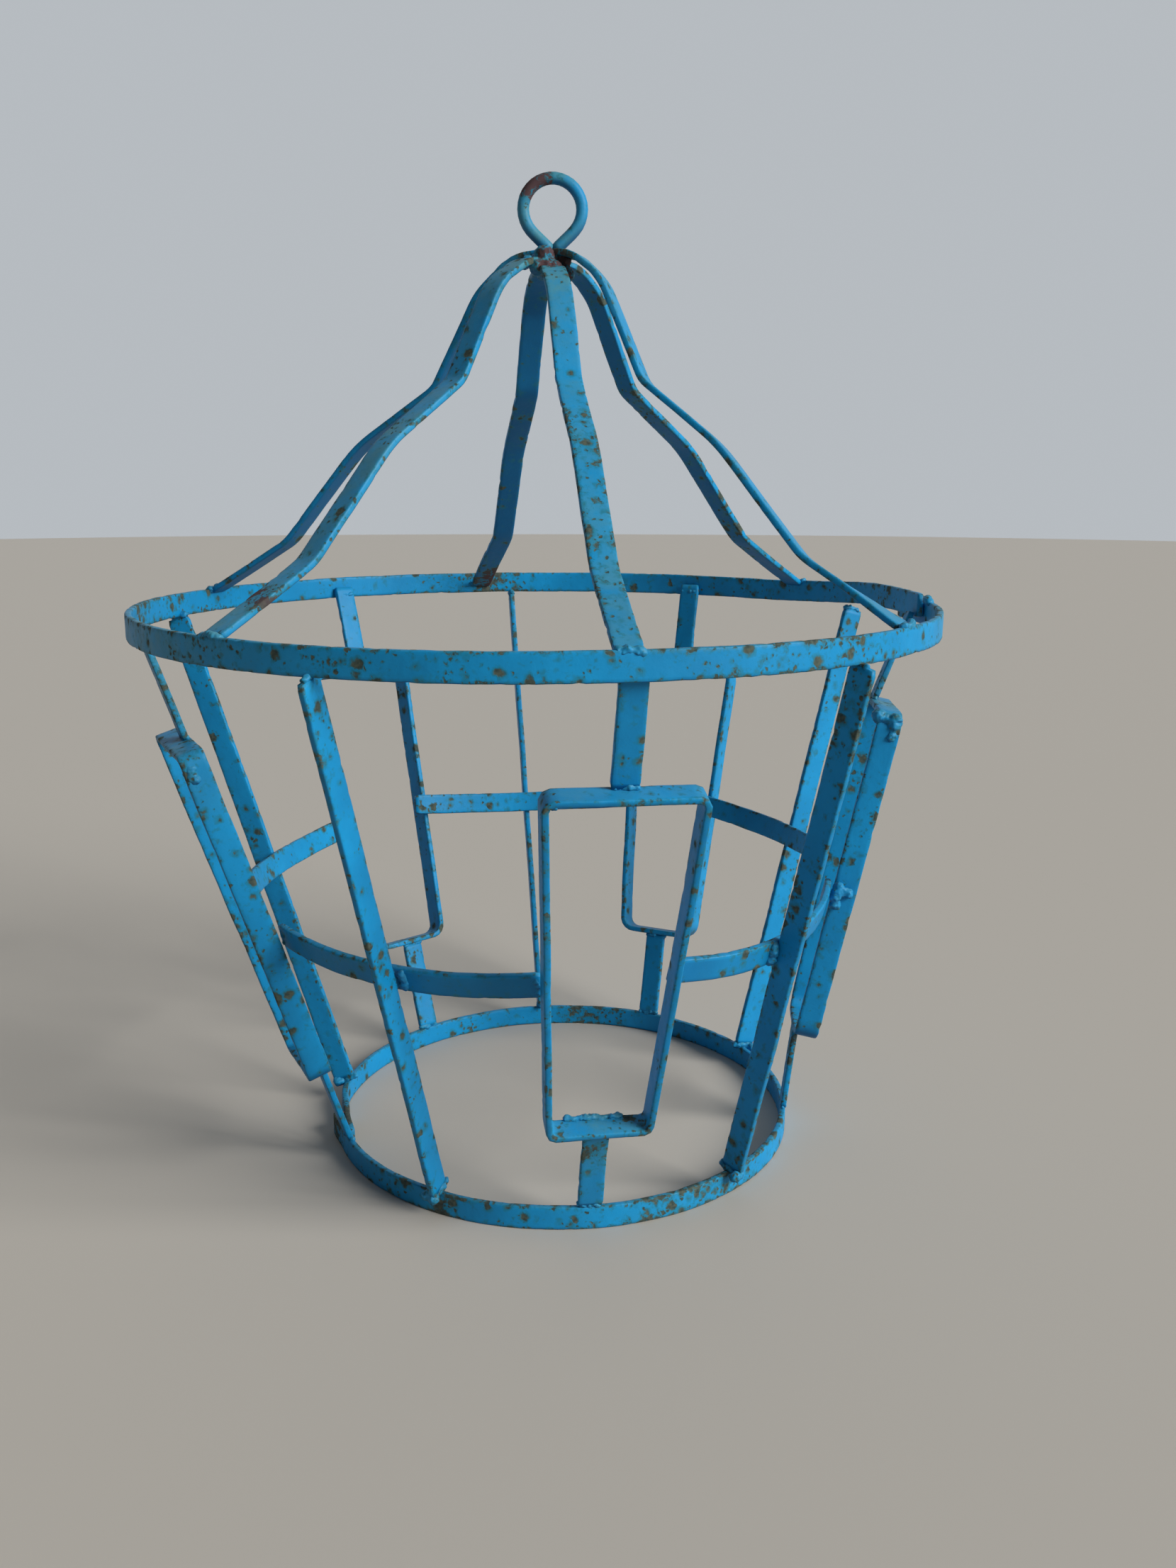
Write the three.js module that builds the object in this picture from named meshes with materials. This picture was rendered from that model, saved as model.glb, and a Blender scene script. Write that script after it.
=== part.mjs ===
// A hanging lantern frame welded from flat iron bar, in millimetres with +Z up.
// The origin is on the floor under the middle of the top hoop. Azimuth 0 is the front (-Y) and
// grows towards +X. Pieces that are welded on the real frame stand a WELD_GAP apart here.
import * as THREE from "three";

// Stock
const BAR_WIDTH = 10;
const BAR_THICKNESS = 2.5;
const EYE_ROD = 4.8;
const WELD_GAP = 0.3;
const BEND_STEP = 9;

// Hoops, bent from bar on edge. Each runs once round from its outer end, one way or the other,
// until its inner end lies under the start.
const TOP_RADIUS = 167;
const TOP_BAND = 10.2;
const TOP_HOOP_Z = 225.1;
const TOP_LAP = { outerEnd: 100, innerEnd: 88, way: -1 };
const BOTTOM_RADIUS = 102.5;
const BOTTOM_BAND = 9.6;
const BOTTOM_CENTRE = new THREE.Vector2(9.4, 0);
const BOTTOM_LAP = { outerEnd: -80, innerEnd: -70, way: 1 };
const LAP_JOG = 16;
const LAP_SETTLED = 2;
const HOOP_STEP = 3;

// Crown: six straps stacked in pairs at the hub, butted on the inside of the top hoop
const HUB = new THREE.Vector3(4.4, 2, 368.2);
const HUB_FLAT = { reach: 14, drop: 1.2, bend: 20 };
const STRAP_START = 1;
const LAYER_PITCH = BAR_THICKNESS + 2 * WELD_GAP;
const KINK_CENTRE = new THREE.Vector2(-0.2, -0.6);
const STRAP_SHOULDER = { share: 0.58, drop: 9.2, bend: 28 };
const STRAP_KINK = { z: 322.7, bend: 13 };
const STRAP_BREAK = { back: 78.6, z: 298.8, bend: 60 };
const STRAP_FLARE = { back: 41, z: 257.6, bend: 26 };
const STRAP_FOOT_RADIUS = 163.5;
const STRAPS = [
  { name: "front", azimuth: 9.8, layer: 0, footZ: 234.6, kink: 50.2, sink: 0 },
  { name: "right_front", azimuth: 52.8, layer: 2, footZ: 234.6, kink: 50.2, sink: 2.4 },
  { name: "right_back", azimuth: 128.4, layer: 1, footZ: 234.6, kink: 50.2, sink: 2.6 },
  { name: "back", azimuth: 188.9, layer: 0, footZ: 229.5, kink: 50.2, sink: 0 },
  { name: "left_back", azimuth: -113.6, layer: 2, footZ: 234.6, kink: 47, sink: 5.4 },
  { name: "left_front", azimuth: -41.5, layer: 1, footZ: 234.6, kink: 47.6, sink: 1.2 },
];

// Hanging eye, bent from round rod and standing on the hub; the lift keeps its slanting ends clear
const EYE_CENTRE_X = 6.8;
const EYE_RADIUS = 12;
const EYE_WRAP = 125;
const EYE_STEP = 12.5;
const EYE_FOOT_LIFT = 1.44;
const EYE_SEGMENTS = 48;
const EYE_SIDES = 6;
const EYE_TOP = 405.4;

// Cage: five uprights on edge between the hoops
const UPRIGHT_TOP_Z = 224;
const UPRIGHT_FOOT_RADIUS = 102.3;
const UPRIGHT_FOOT_GAP = 2;
const UPRIGHTS = [
  { name: "left_front", top: -26.1, foot: -29.7, topRadius: 166.3 },
  { name: "right_front", top: 41.6, foot: 41.9, topRadius: 166.3 },
  { name: "right_back", top: 114.6, foot: 116.8, topRadius: 166.3 },
  { name: "back", top: -174.8, foot: -174.5, topRadius: 162 },
  { name: "left_back", top: -103, foot: -97.5, topRadius: 166.3 },
];

// Five windows, each hung from a stub inside the top hoop and standing on one at the foot.
// Insets push a window's slanting plane inwards at its top and foot. A drop lowers the window,
// and longer adds to its length below.
const STUB_TOP_RADIUS = 162.9;
const STUB_TOP_Z = 230.4;
const STUB_FOOT_Z = BOTTOM_BAND + 0.8;
const WINDOWS = [
  { name: "front", top: 10.6, foot: 5.2, drop: 3, corner: 3 },
  {
    name: "right",
    top: 84,
    foot: 80,
    topInset: 11,
    footInset: 3.6,
    stubShift: 13,
    stubTop: 89.5,
    stubRadius: STUB_TOP_RADIUS - LAYER_PITCH - WELD_GAP,
    longer: 3.8,
  },
  { name: "right_back", top: 150.3, foot: 152.1, drop: 2 },
  { name: "left_back", top: -141.8, foot: -138 },
  { name: "left", top: -66, foot: -66, corner: 3, longer: 3.6 },
];
const WINDOW_TOP_WIDTH = 57;
const WINDOW_FOOT_WIDTH = 40.6;
const WINDOW_FOOT_V = 44;
const WINDOW_TOP_V = 188;
const WINDOW_CORNER = 6;
const WINDOW_INSET = 2;

// Link bars between neighbouring windows, inside each upright. An overlap is how far an end
// reaches in from the window's outline, behind its leg.
const LINK_HEIGHT = BAR_WIDTH;
const LINK_OVERLAP = 5;
const LINK_DEPTH = 4 * WELD_GAP;
const LINK_STEPS = 12;
const LINKS = [
  { name: "left_front", from: "left", to: "front", startZ: 109.5, endZ: 110.5, setIn: 2, endOverlap: 0.8 },
  { name: "right_front", from: "front", to: "right", startZ: 113.5, endZ: 116, startOverlap: 0.8 },
  { name: "right_back", from: "right", to: "right_back", startZ: 120, endZ: 119 },
  { name: "back", from: "right_back", to: "left_back", startZ: 119, endZ: 118.5, endOverlap: 9 },
  { name: "left_back", from: "left_back", to: "left", startZ: 115, endZ: 119, startOverlap: 0.5 },
];

const BLUE = new THREE.MeshStandardMaterial({ color: 0x1487c4, roughness: 0.5, metalness: 0.0 });
const radians = THREE.MathUtils.degToRad;
const lantern = new THREE.Group();

// Points and shapes

function outward(azimuth) {
  const a = radians(azimuth);
  return new THREE.Vector3(Math.sin(a), -Math.cos(a), 0);
}

function sideways(azimuth) {
  const a = radians(azimuth);
  return new THREE.Vector3(Math.cos(a), Math.sin(a), 0);
}

function onTopHoop(azimuth, radius, z) {
  return outward(azimuth).multiplyScalar(radius).setZ(z);
}

function onBottomHoop(azimuth, radius, z) {
  const point = outward(azimuth).multiplyScalar(radius);
  return point.add(new THREE.Vector3(BOTTOM_CENTRE.x, BOTTOM_CENTRE.y, z));
}

// A polyline with its inner corners rounded: vertices are {x, y, bend} in order
function bendLine(vertices, closed) {
  const count = vertices.length;
  const points = [];
  vertices.forEach((vertex, i) => {
    const here = new THREE.Vector2(vertex.x, vertex.y);
    const isEnd = !closed && (i === 0 || i === count - 1);
    if (isEnd) {
      points.push(here);
      return;
    }
    const before = vertices[(i + count - 1) % count];
    const after = vertices[(i + 1) % count];
    const incoming = new THREE.Vector2(vertex.x - before.x, vertex.y - before.y).normalize();
    const outgoing = new THREE.Vector2(after.x - vertex.x, after.y - vertex.y).normalize();
    const turn = Math.atan2(incoming.cross(outgoing), incoming.dot(outgoing));
    const tangent = vertex.bend * Math.tan(Math.abs(turn) / 2);
    const start = here.clone().addScaledVector(incoming, -tangent);
    const side = Math.sign(turn);
    const toCentre = new THREE.Vector2(-incoming.y * side, incoming.x * side);
    const centre = start.clone().addScaledVector(toCentre, vertex.bend);
    const steps = Math.max(2, Math.ceil(Math.abs(turn) / radians(BEND_STEP)));
    for (let k = 0; k <= steps; k += 1) {
      points.push(start.clone().rotateAround(centre, (turn * k) / steps));
    }
  });
  return points;
}

// The line's copies half a thickness to each side of it
function offsetLine(points, distance, closed) {
  const count = points.length;
  return points.map((point, i) => {
    const before = closed ? points[(i + count - 1) % count] : points[Math.max(i - 1, 0)];
    const after = closed ? points[(i + 1) % count] : points[Math.min(i + 1, count - 1)];
    const along = after.clone().sub(before).normalize();
    return new THREE.Vector2(point.x - along.y * distance, point.y + along.x * distance);
  });
}

// A bar seen on its edge, as a shape of the bar's thickness around its centre line
function barShape(points) {
  const left = offsetLine(points, BAR_THICKNESS / 2, false);
  const right = offsetLine(points, -BAR_THICKNESS / 2, false);
  return new THREE.Shape([...right, ...left.reverse()]);
}

function ringShape(points) {
  const shape = new THREE.Shape(offsetLine(points, -BAR_THICKNESS / 2, true));
  shape.holes.push(new THREE.Path(offsetLine(points, BAR_THICKNESS / 2, true)));
  return shape;
}

function extrude(shape, depth) {
  return new THREE.ExtrudeGeometry(shape, { depth, bevelEnabled: false });
}

// Adds a mesh whose own x, y and z axes lie along the three directions, at the origin point
function place(name, geometry, xAxis, yAxis, zAxis, origin) {
  const mesh = new THREE.Mesh(geometry, BLUE.clone());
  mesh.name = name;
  mesh.quaternion.setFromRotationMatrix(new THREE.Matrix4().makeBasis(xAxis, yAxis, zAxis));
  mesh.position.copy(origin);
  lantern.add(mesh);
}

// A straight length of bar, its width along one direction
function straightBar(name, start, end, widthAxis) {
  const along = end.clone().sub(start);
  const length = along.length();
  const zAxis = along.normalize();
  const yAxis = new THREE.Vector3().crossVectors(zAxis, widthAxis).normalize();
  const xAxis = new THREE.Vector3().crossVectors(yAxis, zAxis);
  const middle = start.clone().add(end).multiplyScalar(0.5);
  place(name, new THREE.BoxGeometry(BAR_WIDTH, BAR_THICKNESS, length), xAxis, yAxis, zAxis, middle);
}

// The slanting plane through two points, one on each hoop, facing out at an azimuth:
// u runs along its side, v up its slope and out along its normal
function cagePlane(top, foot, azimuth) {
  const up = top.clone().sub(foot).normalize();
  const normal = new THREE.Vector3().crossVectors(sideways(azimuth), up).normalize();
  const side = new THREE.Vector3().crossVectors(up, normal);
  const at = (u, v, out) =>
    foot.clone().addScaledVector(side, u).addScaledVector(up, v).addScaledVector(normal, out);
  return { foot, up, normal, side, at, height: top.distanceTo(foot) };
}

function uprightPlane({ top, foot, topRadius }) {
  const topPoint = onTopHoop(top, topRadius, UPRIGHT_TOP_Z);
  const footPoint = onBottomHoop(foot, UPRIGHT_FOOT_RADIUS, BOTTOM_BAND);
  return cagePlane(topPoint, footPoint, (top + foot) / 2);
}

function windowPlane({ top, foot, topInset = 0, footInset = 0 }) {
  const footRadius = BOTTOM_RADIUS - BAR_THICKNESS / 2 - footInset;
  const topPoint = onTopHoop(top, STUB_TOP_RADIUS - topInset, STUB_TOP_Z);
  const footPoint = onBottomHoop(foot, footRadius, BOTTOM_BAND);
  return cagePlane(topPoint, footPoint, (top + foot) / 2);
}

// Hoops

// One turn of bar whose inner end is jogged in under its outer end
function hoop(name, radius, lap, band, centre, z) {
  const middle = radius - BAR_THICKNESS / 2;
  const turn = 360 + lap.way * (lap.innerEnd - lap.outerEnd);
  const steps = Math.round(turn / HOOP_STEP);
  const points = [];
  for (let i = 0; i <= steps; i += 1) {
    const along = (turn * i) / steps;
    const jog = THREE.MathUtils.smoothstep(along, 360 - LAP_JOG, 360 - LAP_SETTLED);
    const r = middle - jog * LAYER_PITCH;
    const point = outward(lap.outerEnd + lap.way * along).multiplyScalar(r);
    points.push(new THREE.Vector2(point.x, point.y));
  }
  const geometry = extrude(barShape(points), band);
  geometry.translate(centre.x, centre.y, z);
  const mesh = new THREE.Mesh(geometry, BLUE.clone());
  mesh.name = name;
  lantern.add(mesh);
}

// Crown

// The strap's edge outline, as distance from the hub's axis and height, from hub to foot
function strapLine(reach, run, hubZ, footZ, sink) {
  const shoulderZ = hubZ - STRAP_SHOULDER.drop - sink;
  return bendLine(
    [
      { x: STRAP_START, y: hubZ, bend: 0 },
      { x: HUB_FLAT.reach, y: hubZ - HUB_FLAT.drop, bend: HUB_FLAT.bend },
      { x: reach * STRAP_SHOULDER.share, y: shoulderZ, bend: STRAP_SHOULDER.bend },
      { x: reach, y: STRAP_KINK.z, bend: STRAP_KINK.bend },
      { x: run - STRAP_BREAK.back, y: STRAP_BREAK.z, bend: STRAP_BREAK.bend },
      { x: run - STRAP_FLARE.back, y: STRAP_FLARE.z, bend: STRAP_FLARE.bend },
      { x: run, y: footZ, bend: 0 },
    ],
    false,
  );
}

function crownStrap({ name, azimuth, layer, footZ, kink, sink }) {
  const foot = onTopHoop(azimuth, STRAP_FOOT_RADIUS, 0);
  const bend = onTopHoop(azimuth, kink, 0);
  bend.add(new THREE.Vector3(KINK_CENTRE.x, KINK_CENTRE.y, 0));
  const hub = new THREE.Vector3(HUB.x, HUB.y, 0);
  const away = foot.clone().sub(hub);
  const run = away.length();
  const reach = bend.distanceTo(hub);
  away.normalize();
  const up = new THREE.Vector3(0, 0, 1);
  const across = new THREE.Vector3().crossVectors(away, up);
  const line = strapLine(reach, run, HUB.z + layer * LAYER_PITCH, footZ, sink);
  const origin = hub.clone().addScaledVector(across, -BAR_WIDTH / 2);
  place(`crown_strap_${name}`, extrude(barShape(line), BAR_WIDTH), away, up, across, origin);
}

// A loop of rod whose two ends lean together over the hub
function hangingEye() {
  const centreZ = EYE_TOP - EYE_ROD / 2 - EYE_RADIUS;
  const footZ = HUB.z + 2 * LAYER_PITCH + BAR_THICKNESS / 2 + WELD_GAP + EYE_FOOT_LIFT;
  const onLoop = (degrees) => {
    const a = radians(degrees);
    const x = EYE_CENTRE_X + EYE_RADIUS * Math.sin(a);
    return new THREE.Vector3(x, HUB.y, centreZ + EYE_RADIUS * Math.cos(a));
  };
  const footBelow = (shoulder) => {
    const lean = (shoulder.z - footZ) / Math.tan(radians(EYE_WRAP));
    const x = shoulder.x + Math.sign(shoulder.x - EYE_CENTRE_X) * lean;
    return new THREE.Vector3(x, HUB.y, footZ);
  };
  const points = [footBelow(onLoop(EYE_WRAP))];
  for (let angle = EYE_WRAP; angle >= -EYE_WRAP; angle -= EYE_STEP) {
    points.push(onLoop(angle));
  }
  points.push(footBelow(onLoop(-EYE_WRAP)));
  const section = new THREE.Shape();
  section.absarc(0, 0, EYE_ROD / 2, 0, Math.PI * 2);
  const geometry = new THREE.ExtrudeGeometry(section, {
    extrudePath: new THREE.CatmullRomCurve3(points, false, "centripetal"),
    steps: EYE_SEGMENTS,
    curveSegments: EYE_SIDES,
    bevelEnabled: false,
  });
  const mesh = new THREE.Mesh(geometry, BLUE.clone());
  mesh.name = "hanging_eye";
  lantern.add(mesh);
}

// Cage

function upright(each) {
  const plane = uprightPlane(each);
  const start = plane.at(0, UPRIGHT_FOOT_GAP, 0);
  straightBar(`upright_${each.name}`, start, plane.at(0, plane.height, 0), plane.normal);
}

function windowFrame(each) {
  const plane = windowPlane(each);
  const { drop = 0, longer = 0, corner = WINDOW_CORNER } = each;
  const halfTop = (WINDOW_TOP_WIDTH - BAR_THICKNESS) / 2;
  const taper = (WINDOW_TOP_WIDTH - WINDOW_FOOT_WIDTH) / (WINDOW_TOP_V - WINDOW_FOOT_V);
  const halfFoot = (WINDOW_FOOT_WIDTH - taper * longer - BAR_THICKNESS) / 2;
  const footV = WINDOW_FOOT_V - drop - longer + BAR_THICKNESS / 2;
  const topV = WINDOW_TOP_V - drop - BAR_THICKNESS / 2;
  const line = bendLine(
    [
      { x: -halfFoot, y: footV, bend: corner },
      { x: halfFoot, y: footV, bend: corner },
      { x: halfTop, y: topV, bend: corner },
      { x: -halfTop, y: topV, bend: corner },
    ],
    true,
  );
  const geometry = extrude(ringShape(line), BAR_WIDTH);
  const origin = plane.at(0, 0, -WINDOW_INSET);
  place(`window_${each.name}`, geometry, plane.side, plane.up, plane.normal, origin);
}

// The short bars above and below a window
function stubs(each) {
  const plane = windowPlane(each);
  const { name, top, foot, drop = 0, longer = 0 } = each;
  const { stubShift = 0, stubTop = top, stubRadius = STUB_TOP_RADIUS } = each;
  const upperStart = plane.at(stubShift, WINDOW_TOP_V - drop + 2 * WELD_GAP, 0);
  const upperEnd = onTopHoop(stubTop, stubRadius, STUB_TOP_Z);
  straightBar(`upper_stub_${name}`, upperStart, upperEnd, plane.side);
  const lowerStart = onBottomHoop(foot, BOTTOM_RADIUS - BAR_THICKNESS / 2, STUB_FOOT_Z);
  const lowerEnd = plane.at(0, WINDOW_FOOT_V - drop - longer - WELD_GAP, 0);
  straightBar(`lower_stub_${name}`, lowerStart, lowerEnd, plane.side);
}

// Where a link bar's end lands behind one leg of a window, at a height
function landing(windowName, side, z, overlap = LINK_OVERLAP) {
  const plane = windowPlane(WINDOWS.find((each) => each.name === windowName));
  const v = (z - plane.foot.z) / plane.up.z;
  const share = (v - WINDOW_FOOT_V) / (WINDOW_TOP_V - WINDOW_FOOT_V);
  const half = THREE.MathUtils.lerp(WINDOW_FOOT_WIDTH, WINDOW_TOP_WIDTH, share) / 2;
  const behind = WINDOW_INSET + BAR_THICKNESS / 2 + LINK_DEPTH;
  return plane.at(side * (half - overlap), v, -behind);
}

// A gently bowed bar from one window to the next, passing just inside an upright
function linkBar({ name, from, to, startZ, endZ, setIn = WELD_GAP, startOverlap, endOverlap }) {
  const plane = uprightPlane(UPRIGHTS.find((each) => each.name === name));
  const start = landing(from, 1, startZ, startOverlap);
  const chord = landing(to, -1, endZ, endOverlap).sub(start);
  const length = chord.length();
  const xAxis = chord.normalize();
  const zAxis = plane.up.clone().addScaledVector(xAxis, -plane.up.dot(xAxis)).normalize();
  const yAxis = new THREE.Vector3().crossVectors(zAxis, xAxis);
  const inside = plane.at(0, 0, -(BAR_WIDTH + BAR_THICKNESS) / 2 - setIn).sub(start);
  const crossing = inside.addScaledVector(plane.up, -inside.dot(zAxis) / plane.up.dot(zAxis));
  const along = crossing.dot(xAxis);
  const rise = crossing.dot(yAxis);
  const centreY = (along * along + rise * rise - length * along) / (2 * rise);
  const radius = Math.hypot(length / 2, centreY);
  const sweep = Math.asin(length / 2 / radius);
  const points = [];
  for (let i = 0; i <= LINK_STEPS; i += 1) {
    const a = sweep * ((2 * i) / LINK_STEPS - 1);
    const y = centreY + Math.sign(rise) * radius * Math.cos(a);
    points.push(new THREE.Vector2(length / 2 + radius * Math.sin(a), y));
  }
  const origin = start.clone().addScaledVector(zAxis, -LINK_HEIGHT / 2);
  place(`link_${name}`, extrude(barShape(points), LINK_HEIGHT), xAxis, yAxis, zAxis, origin);
}

hangingEye();
STRAPS.forEach(crownStrap);
hoop("top_hoop", TOP_RADIUS, TOP_LAP, TOP_BAND, new THREE.Vector2(), TOP_HOOP_Z);
hoop("bottom_hoop", BOTTOM_RADIUS, BOTTOM_LAP, BOTTOM_BAND, BOTTOM_CENTRE, 0);
UPRIGHTS.forEach(upright);
WINDOWS.forEach(windowFrame);
WINDOWS.forEach(stubs);
LINKS.forEach(linkBar);

export default lantern;
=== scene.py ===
"""The looks of a hanging lantern frame: flat iron bar under old blue paint, in metres, +Z up.

Each bar is swept along its own centre line with softened, hand-cut edges, and replaces the plain CAD bar.
Lumps of weld metal join the bars. Lengths are in millimetres, as in the part, until a mesh is made, and the
floor and the camera are in metres.
"""

import math

import bmesh
import bpy
from mathutils import Matrix, Vector, noise


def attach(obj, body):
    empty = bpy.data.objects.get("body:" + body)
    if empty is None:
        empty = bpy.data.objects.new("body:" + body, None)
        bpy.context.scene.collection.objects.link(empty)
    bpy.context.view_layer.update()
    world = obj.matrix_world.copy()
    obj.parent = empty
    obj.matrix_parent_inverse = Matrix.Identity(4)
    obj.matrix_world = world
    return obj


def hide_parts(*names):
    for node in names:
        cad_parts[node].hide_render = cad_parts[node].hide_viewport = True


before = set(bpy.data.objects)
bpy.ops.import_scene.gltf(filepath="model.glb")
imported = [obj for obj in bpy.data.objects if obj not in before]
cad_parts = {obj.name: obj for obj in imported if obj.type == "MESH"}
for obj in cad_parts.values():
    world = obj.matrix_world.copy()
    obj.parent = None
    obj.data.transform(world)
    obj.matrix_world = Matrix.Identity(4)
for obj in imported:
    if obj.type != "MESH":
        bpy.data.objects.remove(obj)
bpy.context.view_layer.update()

MM = 0.001
BODY = "root"
UP = Vector((0, 0, 1))

# noise_vector takes its offsets from the clock unless a seed is set
NOISE_SEED = 5
noise.seed_set(NOISE_SEED)

# Stock
BAR_WIDTH = 10.0
BAR_THICKNESS = 2.5
EYE_ROD = 4.8
EDGE_ROUND = 0.55
EDGE_BAND = 1.1
FACE_SPLIT = 2.4
WELD_GAP = 0.3
RING_STEP = 2.2
END_SHRINK = 0.9

# Facts kept at each vertex for the paint, all from 0 to 1
LAYERS = ("edge", "wear_and_shadow", "fade")
CORNER_EDGE = 1.0
SIDE_EDGE = 0.6
BAND_EDGE = 0.15
ROD_EDGE = 0.25
WELD_EDGE = 0.3
WELD_WEAR = 0.15
WELD_FADE = 0.25
NICKED_ABOVE = 0.5

# Unevenness of hand-worked bar: noise with so many cycles a millimetre, and how far it moves the metal
SEED_SHIFT = (17.3, 5.1, 9.7)
WAVER = {"pitch": 0.035, "wide": 0.28, "through": 0.22}
STRETCH = {"pitch": 0.12, "share": 0.022}
NICK = {"pitch": 0.33, "above": 0.25, "depth": 0.8}
BURR = {"pitch": 0.9, "depth": 0.07}
DENT = {"pitch": 0.16, "depth": 0.1}

# Hoops
TOP_RADIUS = 167.0
TOP_BAND = 10.2
TOP_HOOP_Z = 225.1
TOP_LAP = {"outer": 100.0, "inner": 88.0, "way": -1, "rise": 3.2, "flare": 0.0}
BOTTOM_RADIUS = 102.5
BOTTOM_BAND = 9.6
BOTTOM_CENTRE = Vector((9.4, 0, 0))
BOTTOM_LAP = {"outer": -80.0, "inner": -70.0, "way": 1, "rise": 0.0, "flare": 1.8}
LAP_PITCH = 3.1

# Stretches of a lap, in degrees round the hoop
LAP_JOG = 16.0
LAP_SEATED = 358
LAP_CLIMB = (46.0, 18.0)
FLARE_ARC = 9.0

# Crown
HUB = Vector((4.4, 2.0, 368.2))
HUB_FLAT = {"reach": 14.0, "drop": 1.2, "bend": 20.0}
KINK_CENTRE = Vector((-0.2, -0.6, 0))
SHOULDER = {"share": 0.58, "drop": 9.2, "bend": 28.0}
KINK = {"z": 322.7, "bend": 13.0}
BREAK = {"back": 78.6, "z": 298.8, "bend": 60.0}
FLARE = {"back": 41.0, "z": 257.6, "bend": 26.0}
STRAP_START = 0.5
STRAP_FOOT_RADIUS = 163.8
TWIST_ENDS = 8
STRAPS = {
    "front": {"azimuth": 9.8, "layer": 0, "foot_z": 234.6, "kink": 50.2, "sink": 0.0},
    "right_front": {
        "azimuth": 52.8,
        "layer": 2,
        "foot_z": 234.6,
        "kink": 50.2,
        "sink": 2.4,
        "twist": -17.0,
    },
    "right_back": {"azimuth": 128.4, "layer": 1, "foot_z": 234.6, "kink": 50.2, "sink": 2.6},
    "back": {
        "azimuth": 188.9,
        "layer": 0,
        "foot_z": 229.5,
        "kink": 50.2,
        "sink": 0.0,
        "veer": -6.0,
    },
    "left_back": {"azimuth": -113.6, "layer": 2, "foot_z": 234.6, "kink": 47.0, "sink": 5.4},
    "left_front": {"azimuth": -41.5, "layer": 1, "foot_z": 234.6, "kink": 47.6, "sink": 1.2},
}

# Hanging eye
EYE_CENTRE = Vector((6.8, 2.0, 391.0))
EYE_RADIUS = 12.0
EYE_WRAP = 138.0
EYE_FOOT_Z = 375.6
EYE_LEG_STEPS = 8
EYE_ARC_STEPS = 25
EYE_ROUNDINGS = 6

# Cage
STRAIGHT_STEPS = 8
UPRIGHT_TOP_Z = 224.3
UPRIGHT_FOOT_RADIUS = 102.3
UPRIGHT_FOOT_V = 1.2
UPRIGHTS = {
    "left_front": {"top": -26.1, "foot": -29.7, "top_radius": 166.3},
    "right_front": {"top": 41.6, "foot": 41.9, "top_radius": 166.3},
    "right_back": {"top": 114.6, "foot": 116.8, "top_radius": 166.3},
    "back": {"top": -174.8, "foot": -174.5, "top_radius": 162.0},
    "left_back": {"top": -103.0, "foot": -97.5, "top_radius": 166.3},
}
STUB_TOP_RADIUS = 162.9
STUB_TOP_Z = 230.4
STUB_FOOT_GAP = 0.4
STUB_ABOVE_GAP = 0.2
STUB_BELOW_GAP = 0.1
WINDOWS = {
    "front": {"top": 10.6, "foot": 5.2, "drop": 3.0, "corner": 3.0},
    "right": {
        "top": 84.0,
        "foot": 80.0,
        "top_inset": 11.0,
        "foot_inset": 3.6,
        "stub_shift": 13.0,
        "stub_top": 89.5,
        "stub_radius": 159.5,
        "longer": 3.8,
    },
    "right_back": {"top": 150.3, "foot": 152.1, "drop": 2.0},
    "left_back": {"top": -141.8, "foot": -138.0},
    "left": {"top": -66.0, "foot": -66.0, "corner": 3.0, "longer": 3.6},
}
WINDOW_TOP_WIDTH = 57.0
WINDOW_FOOT_WIDTH = 40.6
WINDOW_FOOT_V = 44.0
WINDOW_TOP_V = 188.0
WINDOW_CORNER = 6.0
WINDOW_MIDDLE = 3.0
LINK_OVERLAP = 5.0
LINK_DEPTH = 4.45
LINK_SET_IN = 0.3
LINK_STEPS = 12
LINKS = {
    "left_front": {
        "ends": ("left", "front"),
        "heights": (109.5, 110.5),
        "overlaps": (5.0, 0.8),
        "set_in": 2.0,
    },
    "right_front": {
        "ends": ("front", "right"),
        "heights": (113.5, 116.0),
        "overlaps": (0.8, 5.0),
        "lump": 5.2,
    },
    "right_back": {"ends": ("right", "right_back"), "heights": (120.0, 119.0)},
    "back": {"ends": ("right_back", "left_back"), "heights": (119.0, 118.5), "overlaps": (5.0, 9.0)},
    "left_back": {"ends": ("left_back", "left"), "heights": (115.0, 119.0), "overlaps": (0.5, 5.0)},
}

# Seeds of the bars' unevenness: the first of each kind, and the next ones count up
STRAP_SEED = 1.0
EYE_SEED = 3.3
UPRIGHT_SEED = 11.0
WINDOW_SEED = 21.0
STUB_SEED = 31.0
LOWER_STUB_SEED = 0.7
LINK_SEED = 41.0
HOOP_SEED = 0.01

# Weld metal: lumps by their share of the bead's size, then one skin over them
LUMP_KEY = (3.7, 2.3, 1.9)
LUMP_SPACING = 0.3
LUMP_DRIFT = 0.26
LUMP_RADIUS = 0.44
LUMP_RADIUS_SPREAD = 0.16
WELD_VOXEL = 0.5
WELD_ROUNDINGS = 3
WELD_SWELLS = ((0.36, 0.6), (0.95, 0.42))

# Where beads stand from the ends of bars: sideways, up and out, or beyond the end and up
STRAP_FOOT_AT = (1.6, 0.6)
STRAP_HUB_AT = (8, 1.0)
UPRIGHT_TOP_AT = (0, 0.4, -1.5)
UPRIGHT_FOOT_AT = (0, 0.9, -0.5)
UPRIGHT_CORNER_AT = (-1.5, 0.6, 3.4)
LINK_CROSSING_AT = 2.2

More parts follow.
